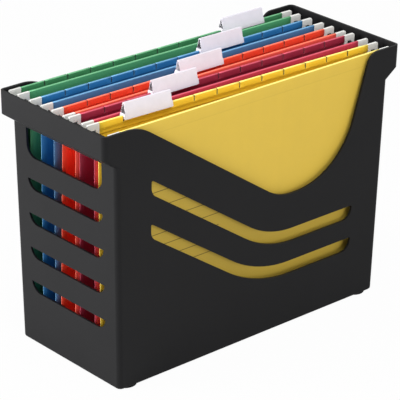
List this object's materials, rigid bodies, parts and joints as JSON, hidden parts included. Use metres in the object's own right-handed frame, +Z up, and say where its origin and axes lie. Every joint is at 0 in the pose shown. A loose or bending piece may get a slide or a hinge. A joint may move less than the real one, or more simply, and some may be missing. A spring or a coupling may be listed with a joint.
{
  "type": "portable file box",
  "caption": "Open-topped plastic box with hand holes and slotted walls, holding coloured hanging files with clear tabs.",
  "frame": {"origin": "centre of the footprint, level with the undersides of the feet", "axes": "+X along the box towards the end where the trough is steep, -Y the front, +Z up"},
  "size_m": [0.366, 0.151, 0.2675],
  "materials": {
    "box_plastic": "fine grained moulded",
    "yellow_card": "smooth uncoated card",
    "red_card": "smooth uncoated card",
    "orange_card": "smooth uncoated card",
    "blue_card": "smooth uncoated card",
    "green_card": "smooth uncoated card",
    "bar_steel": "satin",
    "hook_plastic": "semi-gloss",
    "tab_plastic": "clear gloss",
    "label_paper": "matt"
  },
  "bodies": {
    "box": {"box_body": "box_plastic"},
    "yellow_file": {"yellow_rear_leaf": "yellow_card", "yellow_rear_bar": "bar_steel", "yellow_rear_hooks": "hook_plastic"},
    "yellow_front": {"yellow_front_leaf": "yellow_card", "yellow_front_bar": "bar_steel", "yellow_front_hooks": "hook_plastic"},
    "yellow_tab_holder": {"yellow_tab": "tab_plastic"},
    "yellow_label_strip": {"yellow_label": "label_paper"},
    "red_file": {"red_rear_leaf": "red_card", "red_rear_bar": "bar_steel", "red_rear_hooks": "hook_plastic"},
    "red_front": {"red_front_leaf": "red_card", "red_front_bar": "bar_steel", "red_front_hooks": "hook_plastic"},
    "red_tab_holder": {"red_tab": "tab_plastic"},
    "red_label_strip": {"red_label": "label_paper"},
    "orange_file": {"orange_rear_leaf": "orange_card", "orange_rear_bar": "bar_steel", "orange_rear_hooks": "hook_plastic"},
    "orange_front": {"orange_front_leaf": "orange_card", "orange_front_bar": "bar_steel", "orange_front_hooks": "hook_plastic"},
    "orange_tab_holder": {"orange_tab": "tab_plastic"},
    "orange_label_strip": {"orange_label": "label_paper"},
    "blue_file": {"blue_rear_leaf": "blue_card", "blue_rear_bar": "bar_steel", "blue_rear_hooks": "hook_plastic"},
    "blue_front": {"blue_front_leaf": "blue_card", "blue_front_bar": "bar_steel", "blue_front_hooks": "hook_plastic"},
    "blue_tab_holder": {"blue_tab": "tab_plastic"},
    "blue_label_strip": {"blue_label": "label_paper"},
    "green_file": {"green_rear_leaf": "green_card", "green_rear_bar": "bar_steel", "green_rear_hooks": "hook_plastic"},
    "green_front": {"green_front_leaf": "green_card", "green_front_bar": "bar_steel", "green_front_hooks": "hook_plastic"},
    "green_tab_holder": {"green_tab": "tab_plastic"},
    "green_label_strip": {"green_label": "label_paper"}
  },
  "joints": [
    {"name": "yellow_file_lift", "type": "slide", "parent": "box", "child": "yellow_file", "axis": [0, 0, 1], "range_m": [0, 0.25]},
    {"name": "yellow_leaf_fold", "type": "hinge", "parent": "yellow_file", "child": "yellow_front", "pos_m": [0.0008, -0.05909, 0.01715], "axis": [-1, 0, 0], "range_deg": [0, 3]},
    {"name": "yellow_tab_pull", "type": "slide", "parent": "yellow_file", "child": "yellow_tab_holder", "axis": [0, 0, 1], "range_m": [0, 0.02]},
    {"name": "yellow_label_slide", "type": "slide", "parent": "yellow_tab_holder", "child": "yellow_label_strip", "axis": [0.9993, -0.0382, 0], "range_m": [0, 0.055]},
    {"name": "red_file_lift", "type": "slide", "parent": "box", "child": "red_file", "axis": [0, 0, 1], "range_m": [0, 0.25]},
    {"name": "red_leaf_fold", "type": "hinge", "parent": "red_file", "child": "red_front", "pos_m": [0.0008, -0.02822, 0.01715], "axis": [-0.9998, 0.0196, 0], "range_deg": [0, 2.9]},
    {"name": "red_tab_pull", "type": "slide", "parent": "red_file", "child": "red_tab_holder", "axis": [0, 0, 1], "range_m": [0, 0.02]},
    {"name": "red_label_slide", "type": "slide", "parent": "red_tab_holder", "child": "red_label_strip", "axis": [0.9998, -0.0196, 0], "range_m": [0, 0.055]},
    {"name": "orange_file_lift", "type": "slide", "parent": "box", "child": "orange_file", "axis": [0, 0, 1], "range_m": [0, 0.25]},
    {"name": "orange_leaf_fold", "type": "hinge", "parent": "orange_file", "child": "orange_front", "pos_m": [-0.0008, -0.0027, 0.01715], "axis": [-1, 0.0062, 0], "range_deg": [0, 2.3]},
    {"name": "orange_tab_pull", "type": "slide", "parent": "orange_file", "child": "orange_tab_holder", "axis": [0, 0, 1], "range_m": [0, 0.02]},
    {"name": "orange_label_slide", "type": "slide", "parent": "orange_tab_holder", "child": "orange_label_strip", "axis": [1, -0.0062, 0], "range_m": [0, 0.055]},
    {"name": "blue_file_lift", "type": "slide", "parent": "box", "child": "blue_file", "axis": [0, 0, 1], "range_m": [0, 0.25]},
    {"name": "blue_leaf_fold", "type": "hinge", "parent": "blue_file", "child": "blue_front", "pos_m": [-0.0008, 0.02852, 0.01715], "axis": [-1, 0.0093, 0], "range_deg": [0, 2.3]},
    {"name": "blue_tab_pull", "type": "slide", "parent": "blue_file", "child": "blue_tab_holder", "axis": [0, 0, 1], "range_m": [0, 0.02]},
    {"name": "blue_label_slide", "type": "slide", "parent": "blue_tab_holder", "child": "blue_label_strip", "axis": [-1, 0.0093, 0], "range_m": [0, 0.055]},
    {"name": "green_file_lift", "type": "slide", "parent": "box", "child": "green_file", "axis": [0, 0, 1], "range_m": [0, 0.25]},
    {"name": "green_leaf_fold", "type": "hinge", "parent": "green_file", "child": "green_front", "pos_m": [-0.0008, 0.06054, 0.01715], "axis": [-0.9999, 0.0137, 0], "range_deg": [0, 1.6]},
    {"name": "green_tab_pull", "type": "slide", "parent": "green_file", "child": "green_tab_holder", "axis": [0, 0, 1], "range_m": [0, 0.02]},
    {"name": "green_label_slide", "type": "slide", "parent": "green_tab_holder", "child": "green_label_strip", "axis": [-0.9999, 0.0137, 0], "range_m": [0, 0.055]}
  ]
}
